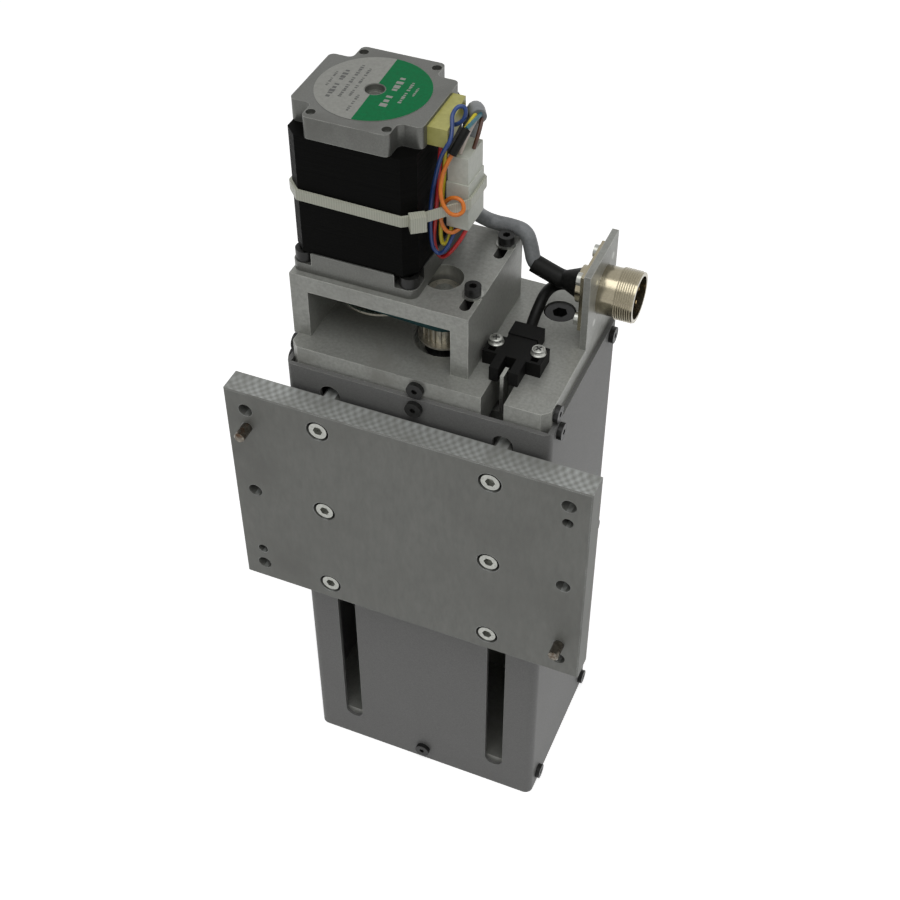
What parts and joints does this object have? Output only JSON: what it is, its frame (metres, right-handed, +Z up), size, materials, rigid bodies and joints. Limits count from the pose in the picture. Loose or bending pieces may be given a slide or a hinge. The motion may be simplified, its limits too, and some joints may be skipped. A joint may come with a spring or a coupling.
{
  "type": "motorised vertical linear stage",
  "caption": "Vertical linear positioning stage: a front plate slides on covered rails, driven by a ball screw through a toothed belt from a top-mounted stepper motor.",
  "frame": {"origin": "centre of the bottom plate's underside", "axes": "+Z up along the stage's travel, -Y towards the moving front plate, +X towards the round connector"},
  "size_m": [0.17, 0.105, 0.3826],
  "materials": {
    "clear_anodised": "satin",
    "ground_plate": "brushed",
    "cover_sheet": "satin",
    "steel": "bright",
    "black_screw": "black oxide",
    "pin_steel": "worn",
    "stack_black": "black satin",
    "motor_cap": "cast",
    "teal_rubber": "moulded",
    "pulley_metal": "plated",
    "bearing_steel": "ground",
    "black_plastic": "matt",
    "cream_plastic": "moulded",
    "white_plastic": "moulded",
    "grey_jacket": "PVC",
    "black_jacket": "PVC",
    "sleeve_grey": "shrunk",
    "red_wire": "PVC",
    "yellow_wire": "PVC",
    "blue_wire": "PVC",
    "orange_wire": "PVC",
    "mixed_wire": "PVC",
    "nylon": "nylon",
    "nickel": "nickel",
    "gold_pin": "gold plated"
  },
  "bodies": {
    "frame": {"bottom_plate": "clear_anodised", "back_plate": "clear_anodised", "top_plate": "clear_anodised", "front_cover": "cover_sheet", "cover_screws": "black_screw", "hood_screws": "black_screw", "frame_bolts": "black_screw", "rails": "bearing_steel", "rail_screws": "black_screw", "bearing_outer_rings": "bearing_steel", "circlip": "steel", "drive_belt": "teal_rubber", "motor_bracket": "clear_anodised", "bracket_screws": "black_screw", "bracket_washers": "steel", "motor_front": "motor_cap", "motor_stator": "stack_black", "motor_rear": "motor_cap", "motor_screws": "black_screw", "motor_bearings": "bearing_steel", "photo_sensor": "black_plastic", "sensor_screws": "steel", "sensor_plug": "black_plastic", "connector_plate": "clear_anodised", "connector_shell": "nickel", "connector_insert": "black_plastic", "connector_pins": "gold_pin", "connector_screws": "steel", "lead_block": "cream_plastic", "wire_connector_lower": "white_plastic", "wire_connector_upper": "white_plastic", "lead_red": "red_wire", "lead_yellow": "yellow_wire", "lead_blue": "blue_wire", "lead_orange": "orange_wire", "lead_sleeve": "sleeve_grey", "motor_cable": "grey_jacket", "sensor_lead": "black_jacket", "cable_wires": "mixed_wire", "cable_boot": "black_jacket", "cable_tie": "nylon"},
    "moving_carriage": {"carriage": "clear_anodised", "ball_nut": "bearing_steel", "block_screws": "black_screw", "nut_screws": "black_screw", "guide_blocks": "bearing_steel", "left_arm": "ground_plate", "right_arm": "ground_plate", "front_plate": "ground_plate", "plate_screws": "steel", "dowel_pins": "pin_steel", "sensor_flag": "steel", "flag_screws": "steel"},
    "screw": {"ball_screw": "bearing_steel", "bearing_inner_rings": "bearing_steel", "locking_collar": "black_screw", "screw_pulley": "pulley_metal"},
    "rotor": {"motor_rotor": "steel", "motor_pulley": "pulley_metal"}
  },
  "joints": [
    {"name": "stage_slide", "type": "slide", "parent": "frame", "child": "moving_carriage", "axis": [0, 0, 1], "range_m": [-0.1, 0.002]},
    {"name": "screw_spin", "type": "hinge", "parent": "frame", "child": "screw", "pos_m": [0, -0.01, 0.257], "axis": [0, 0, 1], "range_deg": [-160, 7220]},
    {"name": "motor_spin", "type": "hinge", "parent": "frame", "child": "rotor", "pos_m": [-0.03262, -0.001, 0.307], "axis": [0, 0, 1], "range_deg": [-100, 4255], "deforming": ["drive_belt"]}
  ],
  "couplings": [
    {"joint": "screw_spin", "follows": "stage_slide", "rad_per_m": -1256.6},
    {"joint": "motor_spin", "follows": "stage_slide", "rad_per_m": -739.2}
  ]
}
